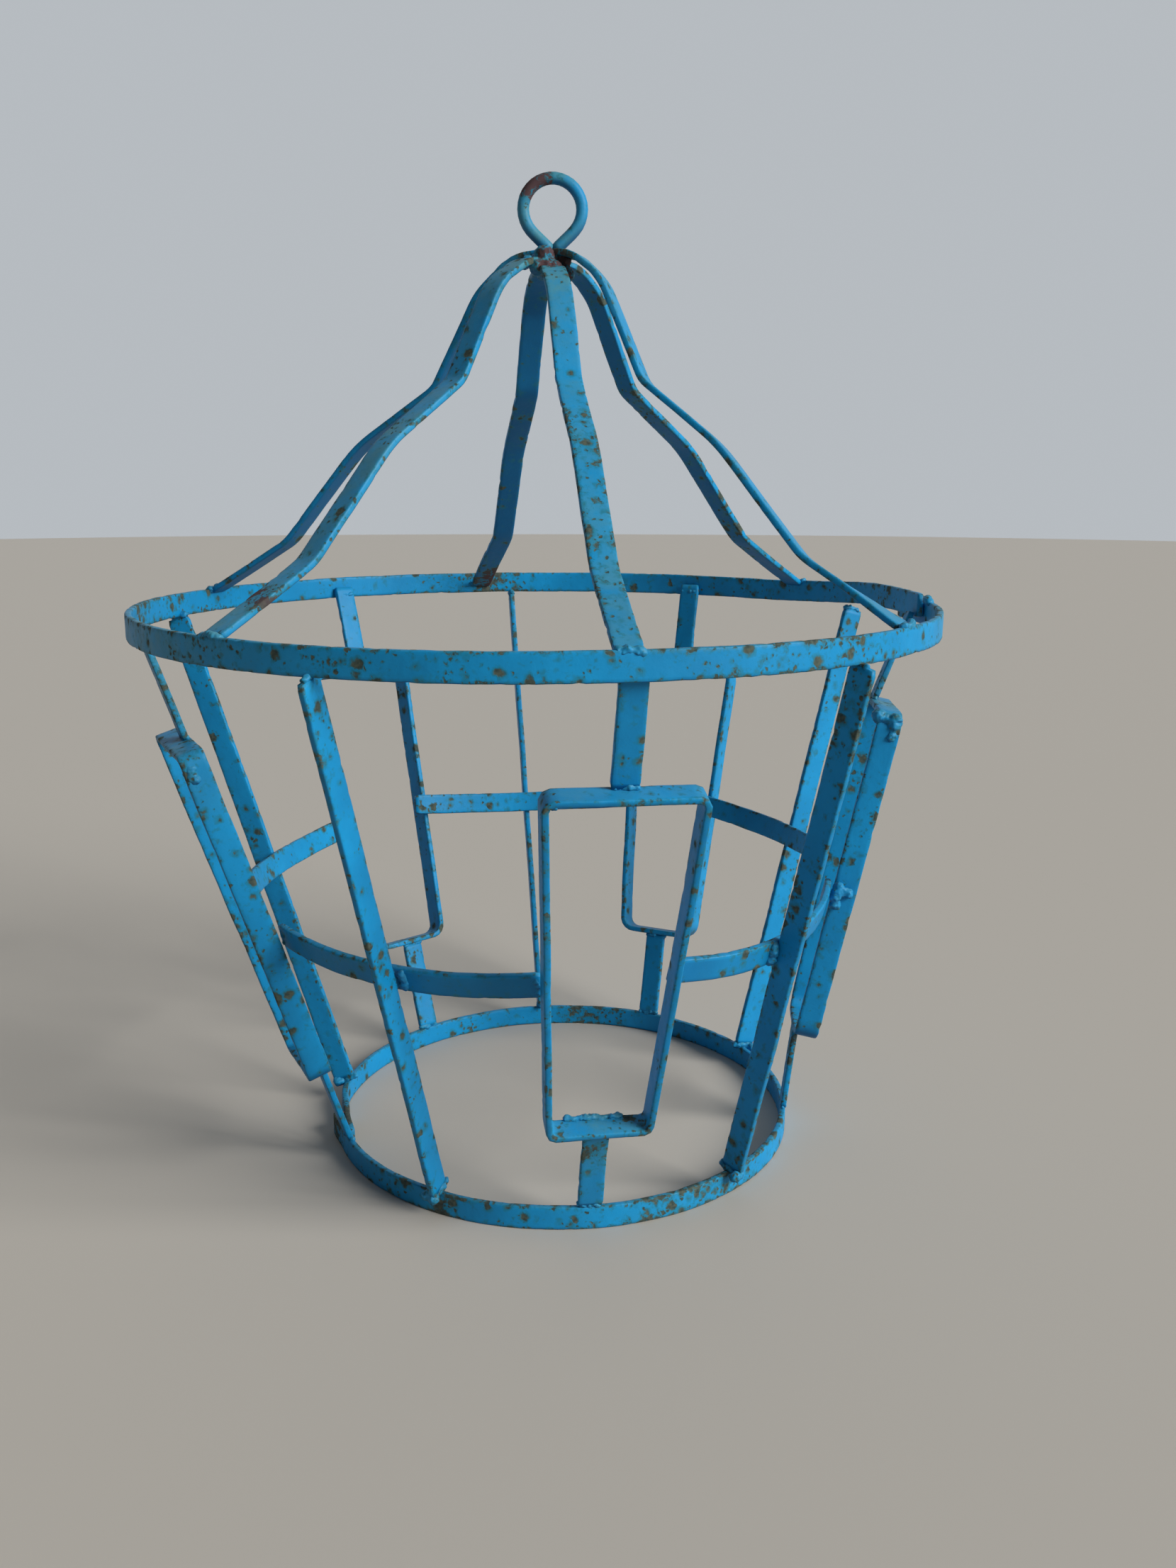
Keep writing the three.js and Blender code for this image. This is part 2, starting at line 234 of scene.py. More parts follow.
# Beads of weld, as (length, size)
STRAP_FOOT_BEAD = (9.5, 4.0)
STRAP_HUB_BEAD = (7.0, 4.6)
UPRIGHT_TOP_BEAD = (7.0, 3.3)
UPRIGHT_FOOT_BEAD = (10.0, 4.0)
UPRIGHT_CORNER_BEAD = (5.0, 5.0)
STUB_WINDOW_BEAD = (9.0, 3.0)
STUB_TOP_BEAD = (8.5, 2.6)
STUB_FOOT_BEAD = (9.0, 3.3)
LINK_END_BEAD = (8.0, 3.0)
LINK_MIDDLE_BEAD = (7.0, 3.6)


# Points and lines


def outward(azimuth):
    """The level direction at an azimuth, which is 0 at the front and grows to the right."""
    a = math.radians(azimuth)
    return Vector((math.sin(a), -math.cos(a), 0))


def sideways(azimuth):
    """The level direction to the right of outward."""
    a = math.radians(azimuth)
    return Vector((math.cos(a), math.sin(a), 0))


def on_top_hoop(azimuth, radius, z):
    return outward(azimuth) * radius + UP * z


def on_bottom_hoop(azimuth, radius, z):
    return outward(azimuth) * radius + BOTTOM_CENTRE + UP * z


def bend_line(corners, closed=False):
    """Points along straight runs with rounded corners: corners are (x, y, bend radius)."""
    count = len(corners)
    points = []
    for i, (x, y, bend) in enumerate(corners):
        here = Vector((x, y))
        if not closed and i in (0, count - 1):
            points.append(here)
            continue
        before = Vector(corners[i - 1][:2])
        after = Vector(corners[(i + 1) % count][:2])
        into = (here - before).normalized()
        out = (after - here).normalized()
        turn = math.atan2(into.x * out.y - into.y * out.x, into.dot(out))
        start = here - into * (bend * math.tan(abs(turn) / 2))
        side = math.copysign(1, turn)
        centre = start + Vector((-into.y, into.x)) * (side * bend)
        steps = max(3, math.ceil(abs(turn) / math.radians(4)))
        for k in range(steps + 1):
            arm = start - centre
            arm.rotate(Matrix.Rotation(turn * k / steps, 2))
            points.append(centre + arm)
    return points


def resample(points, closed):
    """The same line with points an even step apart."""
    line = list(points) + ([points[0]] if closed else [])
    lengths = [(b - a).length for a, b in zip(line, line[1:])]
    total = sum(lengths)
    count = max(4, round(total / RING_STEP))
    out = []
    seg, gone = 0, 0.0
    for k in range(count if closed else count + 1):
        target = total * k / count
        while seg < len(lengths) - 1 and gone + lengths[seg] < target:
            gone += lengths[seg]
            seg += 1
        t = min(1.0, (target - gone) / max(lengths[seg], 1e-9))
        out.append(line[seg].lerp(line[seg + 1], t))
    return out


class Plane:
    """The slanting plane through two points, one on each hoop, facing out at an azimuth."""

    def __init__(self, top, foot, azimuth):
        self.foot = foot
        self.height = (top - foot).length
        self.up = (top - foot).normalized()
        self.normal = sideways(azimuth).cross(self.up).normalized()
        self.side = self.up.cross(self.normal)

    def at(self, u, v, out=0.0):
        """The point u to the side, v up from the foot and so far out of the plane."""
        return self.foot + self.side * u + self.up * v + self.normal * out


def upright_plane(spec):
    top = on_top_hoop(spec["top"], spec["top_radius"], UPRIGHT_TOP_Z)
    foot = on_bottom_hoop(spec["foot"], UPRIGHT_FOOT_RADIUS, BOTTOM_BAND)
    return Plane(top, foot, (spec["top"] + spec["foot"]) / 2)


def window_plane(spec):
    top_radius = STUB_TOP_RADIUS - spec.get("top_inset", 0)
    foot_radius = BOTTOM_RADIUS - BAR_THICKNESS / 2 - spec.get("foot_inset", 0)
    top = on_top_hoop(spec["top"], top_radius, STUB_TOP_Z)
    foot = on_bottom_hoop(spec["foot"], foot_radius, BOTTOM_BAND)
    return Plane(top, foot, (spec["top"] + spec["foot"]) / 2)


# Places where the paint has failed or faded, and one painted shadow, as (centre, radius, strength)

FRONT_WINDOW_FOOT = on_bottom_hoop(5.2, 110, 43)
WORN_AND_SHADOW = [
    (on_bottom_hoop(20, 102, 3), 13, 0.5),
    (on_bottom_hoop(36, 102, 4), 14, 0.35),
    (on_bottom_hoop(52, 102, 5), 20, 0.3),
    (on_bottom_hoop(-29, 102, 3), 8, 1.0),
    (on_bottom_hoop(-78, 104, 5), 12, 1.5),
    (on_bottom_hoop(172, 102, 4), 13, 0.7),
    (FRONT_WINDOW_FOOT + Vector((-17, 0, 0)), 9, 0.9),
    (FRONT_WINDOW_FOOT + Vector((18, 0, 2)), 7, 1.0),
    (FRONT_WINDOW_FOOT - UP * 5, 4, 0.7),
    (on_bottom_hoop(5.2, 104, 36), 7, 0.6),
    (on_bottom_hoop(80, 108, 42), 9, 0.8),
    (on_top_hoop(84, 150, 190), 8, 0.4),
    (on_top_hoop(41.8, 140, 130), 12, 0.25),
    (on_top_hoop(41.7, 165, 215), 10, 0.25),
    (on_top_hoop(-28, 160, 205), 12, 0.35),
    (on_top_hoop(-45, 166, 228), 22, 0.22),
    (on_top_hoop(-88, 166, 230), 22, 0.4),
    (on_top_hoop(76, 167, 230), 18, 0.3),
    (on_top_hoop(30, 167, 230), 45, 0.2),
    (on_top_hoop(-41.5, 144, 246), 7, 1.3),
    (on_top_hoop(189.5, 163, 232), 9, 1.2),
    (on_top_hoop(188.5, 153, 240), 11, 0.8),
    (on_top_hoop(10, 120, 268), 45, 0.4),
    (on_top_hoop(10, 80, 300), 24, 0.25),
    (on_top_hoop(128, 120, 270), 30, 0.3),
    (on_top_hoop(128, 60, 318), 12, 0.5),
    (on_top_hoop(-60, 150, 190), 30, 0.25),
    (on_top_hoop(-60, 128, 110), 26, 0.25),
    (HUB + Vector((1.2, -12, 2.2)), 5.5, 1.7),
    # Painted shadow: the dark red-brown on the right of the hub is partly rust and partly the shade on that
    # side
    (HUB + Vector((8.0, -5, -0.5)), 4.6, 2.0),
    (EYE_CENTRE + Vector((-9, 0, 8)), 6.0, 1.6),
    (EYE_CENTRE + Vector((-4, 0, 12)), 5.0, 1.4),
]
FADED = [
    (EYE_CENTRE + Vector((-12, 0, -4)), 15, 1.0),
    (EYE_CENTRE + Vector((4, 0, 12)), 9, 0.7),
    (EYE_CENTRE + Vector((9, 0, -8)), 7, 0.6),
    (HUB + Vector((-2, -6, 2)), 12, 1.0),
    (on_top_hoop(10, 16, 358), 22, 1.0),
    (on_top_hoop(10, 120, 268), 40, 0.15),
    (on_top_hoop(-55, 167, 230), 50, 0.6),
    (on_top_hoop(-41, 90, 300), 50, 0.4),
    (on_top_hoop(75, 167, 230), 24, 0.5),
    (on_top_hoop(84, 150, 196), 12, 0.8),
    (on_bottom_hoop(30, 102, 5), 40, 0.15),
    (FRONT_WINDOW_FOOT, 22, 0.5),
]


# A place acts no further than so many of its radii
FIELD_REACH = 2.5


def field(places, point):
    """How strongly a list of places acts at a point, at most 1."""
    total = 0.0
    for centre, radius, strength in places:
        d = (point - centre).length / radius
        if d < FIELD_REACH:
            total += strength * math.exp(-d * d)
    return min(total, 1.0)


# Meshes


def new_piece(name, mesh, material, nodes=()):
    """A piece on the body, in place of the CAD nodes given."""
    piece = bpy.data.objects.new(name, mesh)
    bpy.context.scene.collection.objects.link(piece)
    mesh.materials.append(material)
    for polygon in mesh.polygons:
        polygon.use_smooth = True
    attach(piece, BODY)
    if nodes:
        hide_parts(*nodes)
    return piece


def bar_section(width, thickness):
    """Points round a flat bar with rounded corners, as (across, through, edge)."""
    r = EDGE_ROUND
    w, t = width / 2, thickness / 2
    inner = (w - r) - EDGE_BAND
    middle = inner / FACE_SPLIT
    points = []
    for sx, sy, start in ((1, -1, -90), (1, 1, 0), (-1, 1, 90), (-1, -1, 180)):
        for k in range(3):
            a = math.radians(start + 45 * k)
            corner = (sx * (w - r) + r * math.cos(a), sy * (t - r) + r * math.sin(a))
            points.append((*corner, CORNER_EDGE))
        if sx == sy:
            face = ((inner, BAND_EDGE), (middle, 0.0), (-middle, 0.0), (-inner, BAND_EDGE))
            points += [(sx * u, sy * t, edge) for u, edge in face]
        else:
            points.append((sx * w, 0, SIDE_EDGE))
    return points


def rod_section(diameter):
    r = diameter / 2
    turns = [math.radians(20 * k) for k in range(18)]
    return [(r * math.cos(a), r * math.sin(a), ROD_EDGE) for a in turns]


def ring_frames(line, across, closed, twist):
    """(point, direction of the width, direction of the thickness) along a line."""
    count = len(line)
    frames = []
    for i, point in enumerate(line):
        before = line[(i - 1) % count] if closed else line[max(i - 1, 0)]
        after = line[(i + 1) % count] if closed else line[min(i + 1, count - 1)]
        along = (after - before).normalized()
        wide = (across - along * across.dot(along)).normalized()
        if twist:
            wide = Matrix.Rotation(math.radians(twist(i / (count - 1))), 3, along) @ wide
        frames.append((point, wide, along.cross(wide)))
    return frames


def worked_ring(section, point, wide, through, shrink, shift):
    """One section with the waver, nicks and dents of hand-worked bar, as (place, edge)."""
    slow = point * WAVER["pitch"] + shift
    point = point + wide * (noise.noise(slow) * WAVER["wide"])
    point = point + through * (noise.noise(slow + shift) * WAVER["through"])
    stretch = 1 + noise.noise(point * STRETCH["pitch"] + shift) * STRETCH["share"]
    ring = []
    for u, v, edge in section:
        place = point + wide * (u * stretch * shrink) + through * (v * shrink)
        if edge > NICKED_ABOVE:
            nick = noise.noise(place * NICK["pitch"] + shift) - NICK["above"]
            bite = max(0.0, nick) * NICK["depth"]
            bite += noise.noise(place * BURR["pitch"] + shift) * BURR["depth"]
            place = place - (place - point).normalized() * bite
        else:
            dent = noise.noise(place * DENT["pitch"] + shift) * DENT["depth"]
            place = place + through * math.copysign(dent, v)
        ring.append((place, edge))
    return ring


def close_end(bm, ring, layers, outwards):
    """A cap over the ring at a bar's end."""
    size = len(ring)
    tip = bm.verts.new(sum((v.co for v in ring), Vector()) / size)
    for layer in layers:
        tip[layer] = ring[0][layer]
    for k in range(size):
        pair = (ring[k], ring[(k + 1) % size])
        bm.faces.new((*(pair if outwards else pair[::-1]), tip))


def sweep(name, line, across, section, material, nodes, seed, closed=False, twist=None):
    """A bar along a line in space, its width across it; twist gives degrees from the share of its length."""
    line = resample(line, closed)
    count = len(line)
    bm = bmesh.new()
    layers = [bm.verts.layers.float.new(key) for key in LAYERS]
    shift = Vector([seed * part for part in SEED_SHIFT])
    rings = []
    for i, (point, wide, through) in enumerate(ring_frames(line, across, closed, twist)):
        shrink = END_SHRINK if not closed and i in (0, count - 1) else 1.0
        ring = []
        for place, edge in worked_ring(section, point, wide, through, shrink, shift):
            vert = bm.verts.new(place * MM)
            for layer, value in zip(layers, (edge, field(WORN_AND_SHADOW, place), field(FADED, place))):
                vert[layer] = value
            ring.append(vert)
        rings.append(ring)
    size = len(section)
    for i in range(count if closed else count - 1):
        a, b = rings[i], rings[(i + 1) % count]
        for k in range(size):
            m = (k + 1) % size
            bm.faces.new((a[k], a[m], b[m], b[k]))
    if not closed:
        close_end(bm, rings[0], layers, outwards=False)
        close_end(bm, rings[-1], layers, outwards=True)
    bmesh.ops.recalc_face_normals(bm, faces=bm.faces)
    mesh = bpy.data.meshes.new(name)
    bm.to_mesh(mesh)
    bm.free()
    return new_piece(name, mesh, material, nodes)


def rough_lumps(name, welds):
    """Overlapping lumps, a run of them along each weld."""
    bm = bmesh.new()
    for index, (centre, direction, length, size) in enumerate(welds):
        direction = direction.normalized()
        count = max(3, round(length / (size * LUMP_SPACING)))
        for k in range(count):
            share = (k + 0.5) / count - 0.5
            key = Vector((index * LUMP_KEY[0], k * LUMP_KEY[1], LUMP_KEY[2]))
            drift = noise.noise_vector(key) * size * LUMP_DRIFT
            place = centre + direction * (share * length) + drift
            r = size * (LUMP_RADIUS + LUMP_RADIUS_SPREAD * noise.noise(key + UP * 5))
            ball = bmesh.ops.create_icosphere(bm, subdivisions=2, radius=r * MM)
            bmesh.ops.translate(bm, verts=ball["verts"], vec=place * MM)
    rough = bpy.data.meshes.new(name + "_rough")
    bm.to_mesh(rough)
    bm.free()
    return rough


def one_skin(name, rough):
    """A mesh of the lumps merged into one skin."""
    holder = bpy.data.objects.new(name + "_rough", rough)
    bpy.context.scene.collection.objects.link(holder)
    remesh = holder.modifiers.new("merge", "REMESH")
    remesh.mode = "VOXEL"
    remesh.voxel_size = WELD_VOXEL * MM
    graph = bpy.context.evaluated_depsgraph_get()
    mesh = bpy.data.meshes.new_from_object(holder.evaluated_get(graph), depsgraph=graph)
    bpy.data.objects.remove(holder)
    bpy.data.meshes.remove(rough)
    mesh.name = name
    return mesh


def weld_lumps(name, welds, material):
    """Beads of weld metal, each a run of merged lumps: welds are (centre, direction, length, size)."""
    mesh = one_skin(name, rough_lumps(name, welds))
    bm = bmesh.new()
    bm.from_mesh(mesh)
    for _ in range(WELD_ROUNDINGS):
        bmesh.ops.smooth_vert(
            bm, verts=bm.verts, factor=0.5, use_axis_x=True, use_axis_y=True, use_axis_z=True
        )
    edge, wear_and_shadow, fade = [bm.verts.layers.float.new(key) for key in LAYERS]
    bm.normal_update()
    for vert in bm.verts:
        place = vert.co / MM
        swell = sum(noise.noise(place * pitch) * depth for pitch, depth in WELD_SWELLS)
        vert.co += vert.normal * (swell * MM)
        vert[edge] = WELD_EDGE
        vert[wear_and_shadow] = min(1.0, field(WORN_AND_SHADOW, place) + WELD_WEAR)
        vert[fade] = min(1.0, field(FADED, place) + WELD_FADE)
    bm.to_mesh(mesh)
    bm.free()
    return new_piece(name, mesh, material)


# Paint


class Nodes:
    """Short ways to add shader nodes to one material."""

    def __init__(self, material):
        material.use_nodes = True
        self.tree = material.node_tree
        self.tree.nodes.clear()

    def add(self, kind, **settings):
        node = self.tree.nodes.new(kind)
        for key, value in settings.items():
            setattr(node, key, value)
        return node

    def put(self, socket, value):
        if isinstance(value, bpy.types.NodeSocket):
            self.tree.links.new(value, socket)
        else:
            socket.default_value = value

    def math(self, operation, a, b, c=None, clamp=False):
        node = self.add("ShaderNodeMath", operation=operation, use_clamp=clamp)
        for socket, value in zip(node.inputs, (a, b, c)):
            if value is not None:
                self.put(socket, value)
        return node.outputs[0]

    def noise(self, where, scale, detail, rough=0.5):
        node = self.add("ShaderNodeTexNoise")
        self.put(node.inputs["Vector"], where)
        node.inputs["Scale"].default_value = scale
        node.inputs["Detail"].default_value = detail
        node.inputs["Roughness"].default_value = rough
        return node.outputs["Fac"]

    def ramp(self, value, low, high):
        """0 below low, 1 above high, and straight between them."""
        node = self.add("ShaderNodeMapRange", clamp=True)
        self.put(node.inputs["Value"], value)
        self.put(node.inputs["From Min"], low)
        self.put(node.inputs["From Max"], high)
        return node.outputs["Result"]

    def mix(self, share, a, b):
        node = self.add("ShaderNodeMix", data_type="RGBA")
        self.put(node.inputs["Factor"], share)
        self.put(node.inputs[6], a)
        self.put(node.inputs[7], b)
        return node.outputs[2]

    def attribute(self, name):
        return self.add("ShaderNodeAttribute", attribute_name=name).outputs["Fac"]


BLUE_DEEP = (0.004, 0.225, 0.49, 1)
BLUE_LIGHT = (0.006, 0.32, 0.67, 1)
CHALK = (0.062, 0.265, 0.36, 1)
# Deep navy painted on downward-facing faces as their shade
UNDERSIDE_SHADE = (0.002, 0.062, 0.19, 1)
GREENED = (0.015, 0.17, 0.21, 1)
OLIVE_DARK = (0.040, 0.044, 0.028, 1)
OLIVE = (0.105, 0.105, 0.062, 1)
RUST_RED = (0.10, 0.034, 0.030, 1)


# Sizes of the paint's patterns, in cycles a metre
WARP_SCALE = 380
CROWD_SCALE = 42
SPECK_SCALE = 205
CRUMB_SCALE = 520
BLOTCH_SCALE = 230
TONE_SCALE = 24
DUST_SCALE = 90
RUST_TONE_SCALE = 650
BRUSH_SCALE = 190
GRAIN_SCALE = 1300

# How far outlines wander and how high the bumps stand, in metres
WARP_REACH = 0.0034
BUMP_HEIGHT = 0.0006

# Gloss of the sound paint
ROUGHNESS = 0.36
BRUSHED = 0.25
GLOSS = 0.24


def warped(n, where):
    """Places pushed about by noise, so that outlines come out ragged."""
    warp = n.add("ShaderNodeTexNoise")
    n.put(warp.inputs["Vector"], where)
    warp.inputs["Scale"].default_value = WARP_SCALE
    warp.inputs["Detail"].default_value = 3
    moved = n.add("ShaderNodeVectorMath", operation="MULTIPLY_ADD")
    n.put(moved.inputs[0], warp.outputs["Color"])
    moved.inputs[1].default_value = (WARP_REACH, WARP_REACH, WARP_REACH)
    n.put(moved.inputs[2], where)
    return moved.outputs[0]


def spots(n, where, scale, share, size, swell):
    """(core, halo) masks of ragged spots: a share of the cells hold one, and swell adds and grows them."""
    cells = n.add("ShaderNodeTexVoronoi", feature="F1")
    n.put(cells.inputs["Vector"], where)
    cells.inputs["Scale"].default_value = scale
    pick = n.add("ShaderNodeSeparateColor")
    n.put(pick.inputs[0], cells.outputs["Color"])
    chosen = n.ramp(n.math("ADD", pick.outputs[0], swell), 1 - share, 1.25)
    radius = n.math("MULTIPLY_ADD", chosen, size + 0.16, -0.16)
    room = n.math("SUBTRACT", radius, cells.outputs["Distance"])
    return n.ramp(room, -0.02, 0.12), n.ramp(room, -0.24, 0.04)


def rust_masks(n, where, wear_and_shadow, specks, edge_rust):
    """(rust, stain) masks: bare rust, and the stained paint round it."""
    bent = warped(n, where)
    edge = n.attribute("edge")

    # Specks: large ones in crowds, small ones between them
    crowd = n.ramp(n.noise(where, CROWD_SCALE, 2.0), 0.42, 0.68)
    swell = n.math("MULTIPLY", crowd, 0.26 * specks)
    swell = n.math("ADD", swell, n.math("MULTIPLY", wear_and_shadow, 0.4))
    swell = n.math("ADD", swell, n.math("MULTIPLY", edge, 0.09 * edge_rust))
    core, halo = spots(n, bent, SPECK_SCALE, 0.38 * specks, 0.52, swell)
    crumbs = n.math("ADD", swell, n.math("MULTIPLY", wear_and_shadow, 0.3))
    fine_core, fine_halo = spots(n, bent, CRUMB_SCALE, 0.18 * specks, 0.44, crumbs)

    # Blotches: ragged patches at edges, welds and worn places, and at the painted shadow beside the hub
    cloud = n.noise(bent, BLOTCH_SCALE, 5.0, 0.62)
    blotch = n.math("MULTIPLY_ADD", wear_and_shadow, 0.25, cloud)
    blotch = n.math("ADD", blotch, n.math("MULTIPLY", edge, 0.075 * edge_rust))
    rust = n.math("MAXIMUM", n.math("MAXIMUM", core, fine_core), n.ramp(blotch, 0.70, 0.77))
    stain = n.math("MAXIMUM", n.math("MAXIMUM", halo, fine_halo), n.ramp(blotch, 0.59, 0.74))
    return rust, stain


def paint_colour(n, where, wear_and_shadow, rust, stain, chalk, red):
    """The colour from the sound paint outwards: chalk on top, painted shade below, then stain and rust."""
    tone = n.ramp(n.noise(where, TONE_SCALE, 4.0, 0.6), 0.3, 0.7)
    colour = n.mix(tone, BLUE_DEEP, BLUE_LIGHT)
    up = n.add("ShaderNodeSeparateXYZ")
    n.put(up.inputs[0], n.add("ShaderNodeNewGeometry").outputs["Normal"])
    dusty = n.math("MULTIPLY", n.ramp(up.outputs["Z"], 0.2, 0.95), chalk)
    dusty = n.math("ADD", dusty, n.math("MULTIPLY", n.attribute("fade"), 1.15))
    patchy = n.ramp(n.noise(where, DUST_SCALE, 4.0, 0.65), 0.28, 0.6)
    dusty = n.math("MULTIPLY", dusty, patchy, clamp=True)
    colour = n.mix(dusty, colour, CHALK)
    # Painted shade: downward-facing faces are darkened towards deep navy to stand for the shade under them
    shaded = n.math("MULTIPLY", n.ramp(up.outputs["Z"], -0.05, -0.6), 0.7)
    colour = n.mix(shaded, colour, UNDERSIDE_SHADE)
    colour = n.mix(n.math("MULTIPLY", stain, 0.8), colour, GREENED)
    rust_tone = n.ramp(n.noise(where, RUST_TONE_SCALE, 3.0), 0.35, 0.65)
    rust_colour = n.mix(rust_tone, OLIVE_DARK, OLIVE)
    reddened = n.math("MULTIPLY", n.ramp(wear_and_shadow, 0.4, 0.9), red, clamp=True)
    rust_colour = n.mix(reddened, rust_colour, RUST_RED)
    return n.mix(n.math("MULTIPLY", rust, 0.88), colour, rust_colour)


def paint_surface(n, where, rust):
    """(roughness, normal) of brush marks and grain in the paint, and of pitted rust."""
    grain = n.noise(where, GRAIN_SCALE, 3.0, 0.6)
    brush = n.noise(where, BRUSH_SCALE, 3.0, 0.55)
    sheen = n.math("MULTIPLY_ADD", brush, BRUSHED, ROUGHNESS)
    rough = n.math("ADD", sheen, n.math("MULTIPLY", rust, 0.4), clamp=True)
    height = n.math("MULTIPLY_ADD", brush, 0.5, n.math("MULTIPLY", grain, 0.035))
    height = n.math("SUBTRACT", height, n.math("MULTIPLY", rust, 0.22))
    bump = n.add("ShaderNodeBump")
    bump.inputs["Strength"].default_value = 0.6
    bump.inputs["Distance"].default_value = BUMP_HEIGHT
    n.put(bump.inputs["Height"], height)
    return rough, bump.outputs[0]


def paint(name, specks, edge_rust, chalk, red):
    """Old blue paint on iron: specks and blotches of rust, worn edges, chalky upward faces and painted shade
    on downward faces.
    """
    material = bpy.data.materials.new(name)
    n = Nodes(material)
    where = n.add("ShaderNodeTexCoord").outputs["Object"]
    wear_and_shadow = n.attribute("wear_and_shadow")
    rust, stain = rust_masks(n, where, wear_and_shadow, specks, edge_rust)
    colour = paint_colour(n, where, wear_and_shadow, rust, stain, chalk, red)
    rough, normal = paint_surface(n, where, rust)
    shader = n.add("ShaderNodeBsdfPrincipled")
    n.put(shader.inputs["Base Color"], colour)
    n.put(shader.inputs["Roughness"], rough)
    n.put(shader.inputs["Normal"], normal)
    shader.inputs["Specular IOR Level"].default_value = GLOSS
    out = n.add("ShaderNodeOutputMaterial")
    n.put(out.inputs["Surface"], shader.outputs[0])
    return material


PAINT = paint("blue_paint", specks=1.25, edge_rust=1.5, chalk=0.35, red=0.2)
PAINT_HOOP = paint("blue_paint_hoop", specks=1.5, edge_rust=1.6, chalk=0.5, red=0.1)
PAINT_CROWN = paint("blue_paint_crown", specks=1.15, edge_rust=1.2, chalk=0.6, red=0.9)
PAINT_WELD = paint("blue_paint_weld", specks=0.6, edge_rust=0.8, chalk=0.5, red=0.8)
PAINT_EYE = paint("blue_paint_eye", specks=0.8, edge_rust=0.8, chalk=0.7, red=1.2)


# Hoops


def smooth(value, low, high):
    """0 below low, 1 above high, and an S-shaped rise between them."""
    t = min(1.0, max(0.0, (value - low) / (high - low)))
    return t * t * (3 - 2 * t)


def hoop(name, radius, lap, band, centre, z):
    """One turn of bar whose inner end is jogged in under its start, and may stand higher there."""
    turn = 360 + lap["way"] * (lap["inner"] - lap["outer"])
    steps = round(turn)
    points = []
    for i in range(steps + 1):
        along = turn * i / steps
        r = radius - BAR_THICKNESS / 2 - smooth(along, 360 - LAP_JOG, LAP_SEATED) * LAP_PITCH
        r += (1 - smooth(along, 0, FLARE_ARC)) * lap["flare"]
        rise = smooth(along, turn - LAP_CLIMB[0], turn - LAP_CLIMB[1]) * lap["rise"]
        place = outward(lap["outer"] + lap["way"] * along) * r
        points.append(place + centre + UP * (z + band / 2 + rise))
    section = bar_section(band, BAR_THICKNESS)
    return sweep(name + "_bar", points, UP, section, PAINT_HOOP, (name,), seed=radius * HOOP_SEED)


# Crown


def strap_frame(spec):
    """The strap's own level directions and lengths: (hub, away, run, reach)."""
    foot = on_top_hoop(spec["azimuth"], STRAP_FOOT_RADIUS, 0)
    bend = on_top_hoop(spec["azimuth"], spec["kink"], 0) + KINK_CENTRE
    hub = Vector((HUB.x, HUB.y, 0))
    away = foot - hub
    run = away.length
    return hub, away.normalized(), run, (bend - hub).length


def crown_strap(name, spec, seed):
    """An ogee strap from the hub to the top hoop, whose foot may veer and whose length may twist."""
    hub, away, run, reach = strap_frame(spec)
    hub_z = HUB.z + spec["layer"] * LAP_PITCH
    corners = [
        (STRAP_START, hub_z, 0),
        (HUB_FLAT["reach"], hub_z - HUB_FLAT["drop"], HUB_FLAT["bend"]),
        (reach * SHOULDER["share"], hub_z - SHOULDER["drop"] - spec["sink"], SHOULDER["bend"]),
        (reach, KINK["z"], KINK["bend"]),
        (run - BREAK["back"], BREAK["z"], BREAK["bend"]),
        (run - FLARE["back"], FLARE["z"], FLARE["bend"]),
        (run, spec["foot_z"], 0),
    ]
    across = away.cross(UP)
    line = []
    for p in bend_line(corners):
        late = max(0.0, 1 - (run - p.x) / FLARE["back"])
        line.append(hub + away * p.x + UP * p.y + across * (spec.get("veer", 0) * late * late))
    most = spec.get("twist", 0)

    def twist(share):
        return most * min(1.0, share * TWIST_ENDS, (1 - share) * TWIST_ENDS)

    section = bar_section(BAR_WIDTH, BAR_THICKNESS)
    node = "crown_strap_" + name
    return sweep(node + "_bar", line, across, section, PAINT_CROWN, (node,), seed=seed, twist=twist)


def hanging_eye():
    """One rod from the crown up round the eye and back down."""
    points = []
    shoulder = math.radians(EYE_WRAP)
    side = EYE_RADIUS * math.sin(shoulder)
    low = EYE_CENTRE.z + EYE_RADIUS * math.cos(shoulder)
    lean = (low - EYE_FOOT_Z) * math.cos(shoulder) / -math.sin(shoulder)
    for k in range(EYE_LEG_STEPS + 1):
        t = k / EYE_LEG_STEPS
        x = (side - lean) + lean * t
        points.append(Vector((EYE_CENTRE.x + x, EYE_CENTRE.y, EYE_FOOT_Z + (low - EYE_FOOT_Z) * t)))
    for k in range(1, 2 * EYE_ARC_STEPS):
        a = shoulder * (1 - k / EYE_ARC_STEPS)
        points.append(EYE_CENTRE + Vector((math.sin(a), 0, math.cos(a))) * EYE_RADIUS)
    for k in range(EYE_LEG_STEPS + 1):
        t = k / EYE_LEG_STEPS
        x = -side + lean * t
        points.append(Vector((EYE_CENTRE.x + x, EYE_CENTRE.y, low - (low - EYE_FOOT_Z) * t)))
    for _ in range(EYE_ROUNDINGS):
        inner = [(a + b * 2 + c) / 4 for a, b, c in zip(points, points[1:], points[2:])]
        points = [points[0], *inner, points[-1]]
    section = rod_section(EYE_ROD)
    depth = Vector((0, 1, 0))
    return sweep("hanging_eye_rod", points, depth, section, PAINT_EYE, ("hanging_eye",), seed=EYE_SEED)


# Cage


